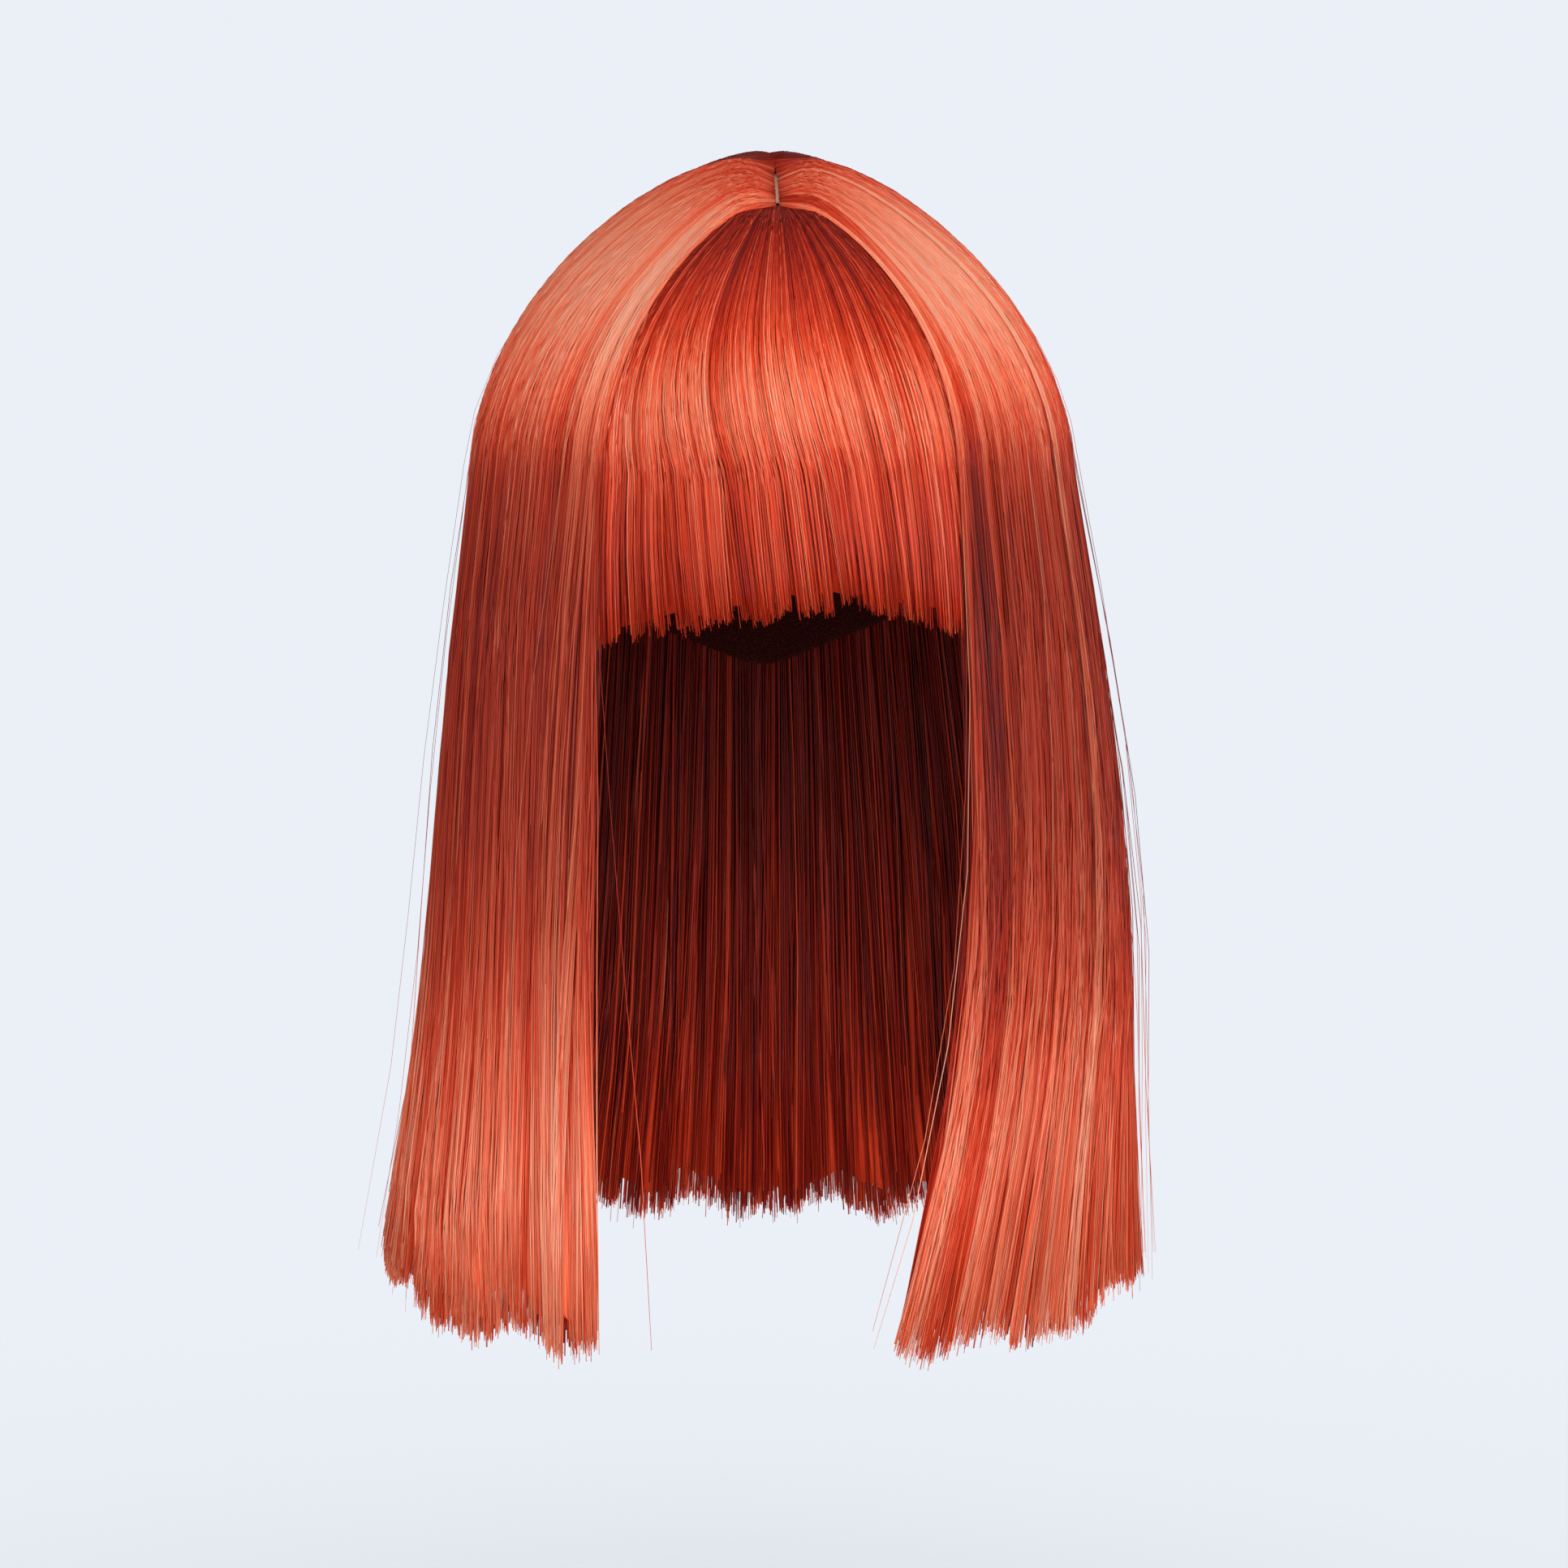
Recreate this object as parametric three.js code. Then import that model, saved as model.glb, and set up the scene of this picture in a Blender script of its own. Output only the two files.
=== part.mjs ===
// A straight bob wig with a full fringe and a centre parting, in the form it has on a head.
// Millimetres, +Z up, the face towards -Y. The origin is the top of the head, inside the cap.
import * as THREE from "three";
import { mergeVertices } from "three/addons/utils/BufferGeometryUtils.js";

const { clamp, degToRad, lerp, smoothstep } = THREE.MathUtils;

// The head that the cap fits, from its top down to its widest ring
const HEAD_HALF_WIDTH = 76;
const HEAD_FRONT = 98;
const HEAD_BACK = 94;
const HEAD_DOME = 92;
const HEAD_WIDTH_POWER = 2;
const HEAD_LENGTH_POWER = 2.4;

// The net cap and the strip of skin-like net under the parting
const CAP_WALL = 1.2;
const CAP_SIDES = 32;
const CAP_ROWS = 9;
const NAPE_TAPER = 0.22;
const NAPE_REACH = 58;
const STRIP_HALF_WIDTH = 6;
const STRIP_SETBACK = 4;
const STRIP_THICKNESS = 0.8;
const STRIP_COLUMNS = 4;
const STRIP_ROWS = 10;

// The parting, seen from above: it runs back from the fringe to the whorl
const PARTING_FRONT_Y = -60;
const STRIP_BACK_Y = -12;
const WHORL_Y = 2;
const WHORL_HALF_WIDTH = 0.6;
const PARTING_HALF_WIDTH = 1.2;
const ROOT_CROWDING = 1.3;
const PARTING_RISE = 12;

// The hair's outer form, from the crown down to the brow ring and on to the tips
const BROW_LEVEL = -85;
const BROW_HALF_WIDTH = 88;
const BROW_FRONT = 106;
const BROW_BACK = 106;
const HAIR_WIDTH_POWER = 1.65;
const HAIR_WIDTH_SOFTNESS = 16;
const HAIR_LENGTH_POWER = 2.2;
const HAIR_FALL_POWER = 0.55;
const CROWN_LIFT = 6.5;
const HUMP_LIFT = 2.5;
const HUMP_START_Y = -20;
const HUMP_END_Y = 15;
const HUMP_HALF_WIDTH = 40;
const ARCH_POWER = 1.5;
const CURTAIN_LENGTH = 241;
const TIP_RAGGED = 3;
const TIP_WAVES = 17;
const HAIR_THICKNESS = 8.5;
const GROOVE_DEPTH = 1.4;

// The back hangs a little shorter, from one share of the way round the side to another
const BACK_LENGTH_LESS = 10;
const SHORTER_FROM_ROUND = 0.1;
const SHORTER_TO_ROUND = 0.5;

// The hair is thinner beside the face, and its locks part only away from the roots
const EDGE_THINNING = 0.6;
const EDGE_THINNING_ROUND = 0.3;
const FULL_FORM_WAY = 0.4;

// The fringe, whose sides hang a little longer than its middle
const FRINGE_LENGTH = 38;
const FRINGE_SIDE_MORE = 10;
const FRINGE_RAGGED = 1.5;
const FRINGE_WAVES = 14;
const FRINGE_THICKNESS = 4.4;
const FRINGE_COLUMNS = 14;
const FRINGE_FALL_ROWS = 4;

// Every two pieces keep this much apart, and a curved wall's flat faces need a little more room
const GAP = 0.6;
const SEAT_GAP = 0.3;
const FACE_ROOM = 0.7;

// Faces of one lock: columns across it, rows over the dome and rows down the fall
const LOCK_COLUMNS = 8;
const DOME_ROWS = 9;
const FALL_ROWS = 8;

// Directions on the hair come from places this far apart, and none closer to a root than this
const DIRECTION_STEP = 0.01;
const LEAST_WAY_DOWN = 0.001;
const LEAST_WAY_ACROSS = 0.02;

const HAIR_COLOUR = 0xd9401c;
const NET_COLOUR = 0x6e1a10;
const SKIN_COLOUR = 0xf0c4b4;

// How low the cap's edge lies at each bearing from the face, as a share of the head's dome
const CAP_EDGE = [
  { bearing: 0, drop: 0.41 },
  { bearing: 40, drop: 0.62 },
  { bearing: 70, drop: 0.98 },
  { bearing: 100, drop: 1.04 },
  { bearing: 135, drop: 1.36 },
  { bearing: 180, drop: 1.6 },
];

// The falling hair at each share of the curtain's length: half widths and front edges as shares of
// the brow's half width, depths as shares of the brow's front and back
const FALL = [
  { drop: 0, left: 1, right: 1, front: 1, back: 1, leftEdge: 0.585, rightEdge: 0.585 },
  { drop: 0.12, left: 1.042, right: 1.06, front: 0.975, back: 0.99, leftEdge: 0.62, rightEdge: 0.62 },
  { drop: 0.32, left: 1.1, right: 1.145, front: 0.92, back: 0.96, leftEdge: 0.622, rightEdge: 0.63 },
  { drop: 0.52, left: 1.142, right: 1.2, front: 0.9, back: 0.915, leftEdge: 0.62, rightEdge: 0.618 },
  { drop: 0.73, left: 1.2, right: 1.213, front: 0.9, back: 0.9, leftEdge: 0.62, rightEdge: 0.548 },
  { drop: 0.85, left: 1.268, right: 1.193, front: 0.9, back: 0.9, leftEdge: 0.61, rightEdge: 0.482 },
  { drop: 0.93, left: 1.3, right: 1.223, front: 0.9, back: 0.905, leftEdge: 0.603, rightEdge: 0.425 },
  { drop: 1, left: 1.285, right: 1.275, front: 0.9, back: 0.925, leftEdge: 0.595, rightEdge: 0.36 },
];

// How thick the hair lies along its way: 0 is the root, 1 the brow ring and 2 the tips
const THICKNESS = [
  { way: 0, share: 0.12 },
  { way: 0.2, share: 0.17 },
  { way: 0.5, share: 0.34 },
  { way: 0.8, share: 0.7 },
  { way: 1, share: 0.96 },
  { way: 1.4, share: 1 },
  { way: 1.85, share: 0.85 },
  { way: 2, share: 0.5 },
];

// The locks of each side, from the face round to the middle of the back
const LOCKS = [
  { name: "front_lock", from: 0, to: 0.17 },
  { name: "temple_lock", from: 0.17, to: 0.34 },
  { name: "side_lock", from: 0.34, to: 0.54 },
  { name: "rear_lock", from: 0.54, to: 0.77 },
  { name: "back_lock", from: 0.77, to: 1 },
];

// A column of a table, followed smoothly from row to row
function follow(table, key, column, at) {
  let row = 0;
  while (row < table.length - 2 && at > table[row + 1][key]) row += 1;
  const low = table[row];
  const high = table[row + 1];
  const before = table[Math.max(row - 1, 0)];
  const after = table[Math.min(row + 2, table.length - 1)];
  const span = high[key] - low[key];
  const slope = (a, b) => ((b[column] - a[column]) / (b[key] - a[key])) * span;
  const t = clamp((at - low[key]) / span, 0, 1);
  const rise = t * t * (3 - 2 * t);
  return (
    lerp(low[column], high[column], rise) +
    t * (1 - t) * ((1 - t) * slope(before, high) - t * slope(low, after))
  );
}

// How far out on the head, grown by some millimetres, a place lies seen from above: 0 is the top
// and 1 the widest ring
function headShare(x, y, grown) {
  const half = y < 0 ? HEAD_FRONT : HEAD_BACK;
  return (
    (Math.abs(x) / (HEAD_HALF_WIDTH + grown)) ** HEAD_WIDTH_POWER +
    (Math.abs(y) / (half + grown)) ** HEAD_LENGTH_POWER
  );
}

// How much narrower the head is some way below its widest ring
function headSpread(below) {
  return Math.max(0, 1 - NAPE_TAPER * (below / NAPE_REACH) ** 2);
}

function headLevel(x, y, grown) {
  const share = Math.min(1, headShare(x, y, grown));
  return grown - (HEAD_DOME + grown) * (1 - Math.sqrt(1 - share));
}

const STRIP_BOTTOM = CAP_WALL + SEAT_GAP;
const HAIR_SEAT = STRIP_BOTTOM + STRIP_THICKNESS + SEAT_GAP;
const ROOT_LEVEL = HAIR_SEAT + SEAT_GAP + HAIR_THICKNESS * THICKNESS[0].share;

function browWidth(side) {
  return BROW_HALF_WIDTH * FALL[0][side < 0 ? "left" : "right"];
}

// A place's share of the hair's half width, raised to the width power but rounded off in the
// middle, and the place that has a given share
function widthShare(x, halfWidth) {
  const raised = (length) =>
    (length * length + HAIR_WIDTH_SOFTNESS ** 2) ** (HAIR_WIDTH_POWER / 2) -
    HAIR_WIDTH_SOFTNESS ** HAIR_WIDTH_POWER;
  return raised(x) / raised(halfWidth);
}

function placeOfShare(share, halfWidth) {
  const soft = HAIR_WIDTH_SOFTNESS ** HAIR_WIDTH_POWER;
  const full = (halfWidth ** 2 + HAIR_WIDTH_SOFTNESS ** 2) ** (HAIR_WIDTH_POWER / 2) - soft;
  const squared = (share * full + soft) ** (2 / HAIR_WIDTH_POWER) - HAIR_WIDTH_SOFTNESS ** 2;
  return Math.sqrt(Math.max(0, squared));
}

// The top of the dressed hair at a place seen from above
function domeLevel(side, x, y) {
  const half = y < 0 ? BROW_FRONT : BROW_BACK;
  const share = widthShare(x, browWidth(side)) + (Math.abs(y) / half) ** HAIR_LENGTH_POWER;
  const hump = smoothstep(y, HUMP_START_Y, HUMP_END_Y) * (1 - smoothstep(Math.abs(x), 0, HUMP_HALF_WIDTH));
  const top = CROWN_LIFT + HUMP_LIFT * hump;
  return lerp(BROW_LEVEL, top, Math.max(0, 1 - share) ** HAIR_FALL_POWER);
}

// The ring of hair at some share of the fall. Round runs from 0 at the face edge to 1 at the back,
// and below 0 across the fringe to -1 in the middle of the face
function ringPlace(side, round, drop) {
  const column = side < 0 ? "left" : "right";
  const width = BROW_HALF_WIDTH * follow(FALL, "drop", column, drop);
  const edge = BROW_HALF_WIDTH * follow(FALL, "drop", column + "Edge", drop);
  const face = Math.asin(Math.sqrt(widthShare(edge, width)));
  const angle = round < 0 ? face * (1 + round) : lerp(face, Math.PI, round);
  const depth =
    Math.cos(angle) > 0
      ? -BROW_FRONT * follow(FALL, "drop", "front", drop)
      : BROW_BACK * follow(FALL, "drop", "back", drop);
  return new THREE.Vector2(
    side * placeOfShare(Math.sin(angle) ** 2, width),
    depth * Math.abs(Math.cos(angle)) ** (2 / HAIR_LENGTH_POWER),
  );
}

function rootPlace(side, round) {
  if (round < 0)
    return new THREE.Vector2(side * PARTING_HALF_WIDTH * (1 + round), PARTING_FRONT_Y);
  const y = lerp(WHORL_Y, PARTING_FRONT_Y, (1 - round) ** ROOT_CROWDING);
  const closed = smoothstep(y, STRIP_BACK_Y, WHORL_Y);
  const halfWidth = lerp(PARTING_HALF_WIDTH, WHORL_HALF_WIDTH, closed);
  return new THREE.Vector2(side * halfWidth, y);
}

// The outside of the hair. Way runs from 0 at the root over 1 at the brow to 2 at the tip, and
// length is how far the hair hangs below the brow
function hairPlace(side, round, way, length) {
  if (way > 1) {
    const fallen = (way - 1) * length;
    const place = ringPlace(side, round, fallen / CURTAIN_LENGTH);
    return new THREE.Vector3(place.x, place.y, BROW_LEVEL - fallen);
  }
  const root = rootPlace(side, round);
  const brow = ringPlace(side, round, 0);
  const share = Math.sin((way * Math.PI) / 2) ** ARCH_POWER;
  const place = root.clone().lerp(brow, share);
  const reach = share * root.distanceTo(brow);
  const low = headLevel(place.x, place.y, 0) + ROOT_LEVEL;
  const full = domeLevel(side, place.x, place.y);
  const level = lerp(low, full, smoothstep(reach, 0, PARTING_RISE));
  return new THREE.Vector3(place.x, place.y, level);
}

// The direction across the hair and the direction out of it, at a place on its outside
function hairDirections(side, round, way, length) {
  const step = DIRECTION_STEP;
  const ways = [Math.max(way - step, LEAST_WAY_DOWN), Math.min(way + step, 2)];
  const rounds = [Math.max(round - step, -1), Math.min(round + step, 1)];
  const steady = Math.max(way, LEAST_WAY_ACROSS);
  const across = hairPlace(side, rounds[1], steady, length).sub(
    hairPlace(side, rounds[0], steady, length),
  );
  const down = hairPlace(side, round, ways[1], length).sub(
    hairPlace(side, round, ways[0], length),
  );
  const out = across.clone().cross(down).multiplyScalar(-side).normalize();
  return { across: across.normalize(), out };
}

// How far the hair can reach inwards from a place on its outside before it meets the cap
function roomOverCap(place, out, wanted) {
  const grown = CAP_WALL + SEAT_GAP + FACE_ROOM;
  const free = (depth) => {
    const { x, y, z } = place.clone().addScaledVector(out, -depth);
    const below = -HEAD_DOME - z;
    if (below > 0) return headShare(x, y, grown) > headSpread(below) ** 2;
    return z > headLevel(x, y, grown);
  };
  if (free(wanted)) return wanted;
  let clear = 0;
  let blocked = wanted;
  while (blocked - clear > SEAT_GAP / 10) {
    const middle = (clear + blocked) / 2;
    if (free(middle)) clear = middle;
    else blocked = middle;
  }
  return clear;
}

// A box whose corners are moved to where place says, so that it stays one closed solid
function moulded(columns, rows, place) {
  const box = new THREE.BoxGeometry(1, 1, 1, columns, rows, 1);
  box.deleteAttribute("normal");
  box.deleteAttribute("uv");
  const geometry = mergeVertices(box);
  const corners = geometry.attributes.position;
  for (let i = 0; i < corners.count; i += 1) {
    const p = place(corners.getX(i) + 0.5, corners.getY(i) + 0.5, corners.getZ(i) + 0.5);
    corners.setXYZ(i, p.x, p.y, p.z);
  }
  geometry.computeVertexNormals();
  return geometry;
}

// One lock of a side: a curved wall that starts at the parting, arches to the brow and hangs down
function lockGeometry(side, lock, order) {
  const rows = DOME_ROWS + FALL_ROWS;
  return moulded(LOCK_COLUMNS, rows, (u, v, layer) => {
    const over = side < 0 ? u : 1 - u;
    const round = lerp(lock.from, lock.to, over);
    const row = v * rows;
    const way = row < DOME_ROWS ? row / DOME_ROWS : 1 + (row - DOME_ROWS) / FALL_ROWS;
    const shorter = BACK_LENGTH_LESS * smoothstep(round, SHORTER_FROM_ROUND, SHORTER_TO_ROUND);
    const ragged = TIP_RAGGED * Math.sin((round * TIP_WAVES + order) * Math.PI);
    const length = CURTAIN_LENGTH - shorter + ragged;
    const { across, out } = hairDirections(side, round, way, length);
    const full = smoothstep(way, 0, FULL_FORM_WAY);
    const beside = lerp(EDGE_THINNING, 1, smoothstep(round, 0, EDGE_THINNING_ROUND));
    const wanted = HAIR_THICKNESS * lerp(1, beside, full) * follow(THICKNESS, "way", "share", way);
    const groove = GROOVE_DEPTH * full * (2 * over - 1) ** 2;
    const place = hairPlace(side, round, way, length);
    const depth = lerp(roomOverCap(place, out, wanted), groove, layer);
    return place.addScaledVector(out, -depth).addScaledVector(across, GAP * (0.5 - over));
  });
}

// The fringe: one fan of hair from the front end of the parting, cut straight above the eyes
function fringeGeometry() {
  const rows = DOME_ROWS + FRINGE_FALL_ROWS;
  return moulded(FRINGE_COLUMNS, rows, (u, v, layer) => {
    const over = 2 * u - 1;
    const side = over < 0 ? 1 : -1;
    const round = Math.abs(over) - 1;
    const row = v * rows;
    const way = row < DOME_ROWS ? row / DOME_ROWS : 1 + (row - DOME_ROWS) / FRINGE_FALL_ROWS;
    const ragged = FRINGE_RAGGED * Math.sin(over * FRINGE_WAVES * Math.PI);
    const length = FRINGE_LENGTH + FRINGE_SIDE_MORE * over * over + ragged;
    const { across, out } = hairDirections(side, round, way, length);
    const thickness = FRINGE_THICKNESS * follow(THICKNESS, "way", "share", way);
    const wanted = Math.max(thickness, HAIR_THICKNESS * THICKNESS[0].share);
    const place = hairPlace(side, round, way, length);
    const depth = lerp(roomOverCap(place, out, wanted), 0, layer);
    return place.addScaledVector(out, -depth).addScaledVector(across, -(GAP / 2) * Math.abs(over));
  });
}

// The strip of skin-like net on top of the cap, along the parting
function stripGeometry() {
  return moulded(STRIP_COLUMNS, STRIP_ROWS, (u, v, layer) => {
    const x = lerp(-STRIP_HALF_WIDTH, STRIP_HALF_WIDTH, u);
    const y = lerp(PARTING_FRONT_Y + STRIP_SETBACK, STRIP_BACK_Y, v);
    const grown = STRIP_BOTTOM + STRIP_THICKNESS * layer;
    return new THREE.Vector3(x, y, headLevel(x, y, grown));
  });
}

// The cap: a double wall turned round the crown, then given the head's form and the cap's edge
function capGeometry() {
  const wall = (layer) =>
    Array.from({ length: CAP_ROWS + 1 }, (_, row) => new THREE.Vector2(row / CAP_ROWS, layer));
  const profile = [...wall(1), ...wall(0).reverse()];
  const geometry = new THREE.LatheGeometry(profile, CAP_SIDES);
  const corners = geometry.attributes.position;
  for (let i = 0; i < corners.count; i += 1) {
    const x = corners.getX(i);
    const z = corners.getZ(i);
    const grown = CAP_WALL * corners.getY(i);
    const bearing = Math.atan2(x, -z);
    const edge = follow(CAP_EDGE, "bearing", "drop", Math.abs(bearing) / degToRad(1));
    const arc = edge < 1 ? Math.acos(1 - edge) : Math.PI / 2 + edge - 1;
    const fall = Math.hypot(x, z) * arc;
    const below = HEAD_DOME * Math.max(0, fall - Math.PI / 2);
    const spread = below > 0 ? headSpread(below) : Math.sin(fall);
    const half = Math.cos(bearing) > 0 ? HEAD_FRONT : HEAD_BACK;
    const sideways = spread * Math.abs(Math.sin(bearing));
    const lengthways = spread * Math.abs(Math.cos(bearing));
    corners.setXYZ(
      i,
      Math.sign(Math.sin(bearing)) * (HEAD_HALF_WIDTH + grown) * sideways ** (2 / HEAD_WIDTH_POWER),
      -Math.sign(Math.cos(bearing)) * (half + grown) * lengthways ** (2 / HEAD_LENGTH_POWER),
      below > 0 ? -HEAD_DOME - below : grown - (HEAD_DOME + grown) * (1 - Math.cos(fall)),
    );
  }
  geometry.computeVertexNormals();
  return geometry;
}

const hair = new THREE.MeshStandardMaterial({ color: HAIR_COLOUR, roughness: 0.35, metalness: 0 });
const net = new THREE.MeshStandardMaterial({ color: NET_COLOUR, roughness: 0.9, metalness: 0 });
const skin = new THREE.MeshStandardMaterial({ color: SKIN_COLOUR, roughness: 0.7, metalness: 0 });

const wig = new THREE.Group();
wig.name = "bob_wig";

function addPiece(name, geometry, material) {
  const mesh = new THREE.Mesh(geometry, material);
  mesh.name = name;
  wig.add(mesh);
}

addPiece("cap", capGeometry(), net);
addPiece("parting_strip", stripGeometry(), skin);
addPiece("fringe", fringeGeometry(), hair);
for (const [sideName, side] of [["left", -1], ["right", 1]])
  LOCKS.forEach((lock, order) =>
    addPiece(lock.name + "_" + sideName, lockGeometry(side, lock, order), hair),
  );

export default wig;
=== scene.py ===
# %% [markdown]
# # A coral-red bob wig
# This lesson dresses the solid wig in hair. The solids give the form: a net cap, a strip of
# skin-like net under the parting, a fringe, and five locks on each side. On the real wig each lock
# is thousands of straight synthetic fibres. Here each lock becomes a mesh of thin closed tubes,
# laid along the same curved surface that the solid was made from.

# %% Load the frame
import math

import bpy
import numpy as np
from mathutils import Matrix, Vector


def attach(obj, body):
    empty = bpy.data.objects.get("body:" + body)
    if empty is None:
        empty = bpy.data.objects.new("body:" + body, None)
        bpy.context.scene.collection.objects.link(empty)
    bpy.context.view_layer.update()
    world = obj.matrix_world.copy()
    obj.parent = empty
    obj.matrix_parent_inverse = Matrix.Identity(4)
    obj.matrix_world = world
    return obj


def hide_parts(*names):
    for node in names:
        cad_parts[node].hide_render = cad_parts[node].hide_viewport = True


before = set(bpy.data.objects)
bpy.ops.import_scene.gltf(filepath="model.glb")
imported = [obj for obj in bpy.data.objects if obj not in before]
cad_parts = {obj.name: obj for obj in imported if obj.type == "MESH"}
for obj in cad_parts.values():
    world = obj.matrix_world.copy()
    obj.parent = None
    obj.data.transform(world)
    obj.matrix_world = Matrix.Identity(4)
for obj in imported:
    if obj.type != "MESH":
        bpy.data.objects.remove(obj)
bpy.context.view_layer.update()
MM = 0.001
BODY = "root"
random = np.random.default_rng(26)


# %% [markdown]
# ## The camera
# The photograph was taken from a little above, with a long lens, so the two sides of the hair hang
# nearly parallel. The camera stands 1.3 m off and looks slightly down at the middle of the wig.

# %% Place the camera
CAMERA_PLACE = Vector((-0.0415, -1.2961, -0.0858))
CAMERA_TARGET = Vector((0.0038, -0.0001, -0.1765))
CAMERA_LENS = 101.74
CAMERA_SENSOR = 36


def look_from(obj, place, target):
    obj.location = place
    obj.rotation_euler = (target - place).to_track_quat("-Z", "Y").to_euler()


bpy.ops.object.camera_add()
camera = bpy.context.object
look_from(camera, CAMERA_PLACE, CAMERA_TARGET)
camera.data.lens = CAMERA_LENS
camera.data.sensor_width = CAMERA_SENSOR
bpy.context.scene.camera = camera
print("camera distance:", round((CAMERA_PLACE - CAMERA_TARGET).length, 3), "m")

# %% [markdown]
# ## Nodes as expressions
# A material is a small program. It reads better as arithmetic than as dozens of linked boxes, so
# one class wraps a socket and turns + - * / into Math nodes, and one method adds any other node.

# %% A socket that does sums
class Value:
    """A number that varies over a surface, and the sums that can be done with it."""

    def __init__(self, finish, socket):
        self.finish = finish
        self.socket = socket

    def sum_with(self, operation, other, swapped=False):
        pair = (other, self) if swapped else (self, other)
        node = self.finish.add("ShaderNodeMath", {"operation": operation}, dict(enumerate(pair)))
        return Value(self.finish, node.outputs[0])

    def __add__(self, other):
        return self.sum_with("ADD", other)

    def __radd__(self, other):
        return self.sum_with("ADD", other)

    def __sub__(self, other):
        return self.sum_with("SUBTRACT", other)

    def __rsub__(self, other):
        return self.sum_with("SUBTRACT", other, swapped=True)

    def __mul__(self, other):
        return self.sum_with("MULTIPLY", other)

    def __rmul__(self, other):
        return self.sum_with("MULTIPLY", other)

    def __truediv__(self, other):
        return self.sum_with("DIVIDE", other)

    def __pow__(self, other):
        return self.sum_with("POWER", other)


class Finish:
    """One material, whose nodes are added by name, settings and sockets."""

    def __init__(self, name, constants):
        self.material = bpy.data.materials.new(name)
        self.material.use_nodes = True
        self.tree = self.material.node_tree
        self.tree.nodes.clear()
        self.surface = self.add("ShaderNodeBsdfPrincipled", {}, constants)
        output = self.add("ShaderNodeOutputMaterial", {}, {})
        self.tree.links.new(self.surface.outputs[0], output.inputs["Surface"])

    def add(self, kind, settings, sockets):
        node = self.tree.nodes.new(kind)
        for name, value in settings.items():
            if name == "stops":
                self.set_stops(node.color_ramp, value)
            else:
                setattr(node, name, value)
        for name, value in sockets.items():
            self.feed(node.inputs[name], value)
        return node

    def set_stops(self, ramp, stops):
        while len(ramp.elements) < len(stops):
            ramp.elements.new(1)
        for element, (position, colour) in zip(ramp.elements, stops):
            element.position = position
            element.color = (*colour, 1)

    def feed(self, socket, value):
        if isinstance(value, Value):
            self.tree.links.new(value.socket, socket)
        elif socket.type == "RGBA":
            socket.default_value = (*value[:3], 1)
        else:
            socket.default_value = value

    def out(self, node, name=0):
        return Value(self, node.outputs[name])

    def ramp(self, value, stops):
        return self.out(self.add("ShaderNodeValToRGB", {"stops": stops}, {"Fac": value}), "Color")

    def mix(self, share, first, second, blend="MIX"):
        settings = {"data_type": "RGBA", "blend_type": blend}
        factor, colour_a, colour_b = 0, 6, 7
        sockets = {factor: share, colour_a: first, colour_b: second}
        return self.out(self.add("ShaderNodeMix", settings, sockets), 2)

    def spread(self, value, low, high):
        settings = {"interpolation_type": "SMOOTHSTEP"}
        sockets = {"Value": value, "From Min": low, "From Max": high}
        return self.out(self.add("ShaderNodeMapRange", settings, sockets))

    def wear(self, obj):
        obj.data.materials.clear()
        obj.data.materials.append(self.material)


print("nodes are ready")

# %% [markdown]
# ## The form of the hair
# Every strand follows one surface, the outside of the dressed hair. A place on it has two
# numbers. Turn says where round the head it is: 0 is the middle of the fringe, 1 and -1 are the
# edges of the face, and 2 and -2 meet in the middle of the back. Way says how far along a strand:
# 0 is the root at the parting, 1 the ring at the brow and 2 the tip. The solids were made from the
# same surface, so the strands lie where the solids are.

# %% The sizes of the head and the hair, in millimetres
HEAD_HALF_WIDTH = 76
HEAD_FRONT = 98
HEAD_BACK = 94
HEAD_DOME = 92
HEAD_LENGTH_POWER = 2.4
NAPE_TAPER = 0.22
NAPE_REACH = 58

PARTING_FRONT_Y = -60
STRIP_BACK_Y = -12
WHORL_Y = 2
WHORL_HALF_WIDTH = 0.6
PARTING_HALF_WIDTH = 1.2
ROOT_CROWDING = 1.3
PARTING_RISE = 12
ROOT_LEVEL = 3.92

BROW_LEVEL = -85
BROW_HALF_WIDTH = 88
BROW_DEPTH = 106
HAIR_WIDTH_POWER = 1.65
HAIR_WIDTH_SOFTNESS = 16
HAIR_LENGTH_POWER = 2.2
HAIR_FALL_POWER = 0.55
ARCH_POWER = 1.5
CROWN_LIFT = 6.5
HUMP_LIFT = 2.5
HUMP_START_Y = -20
HUMP_END_Y = 15
HUMP_HALF_WIDTH = 40
CURTAIN_LENGTH = 241
HAIR_THICKNESS = 8.5
CAP_ROOM = 2.2

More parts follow.
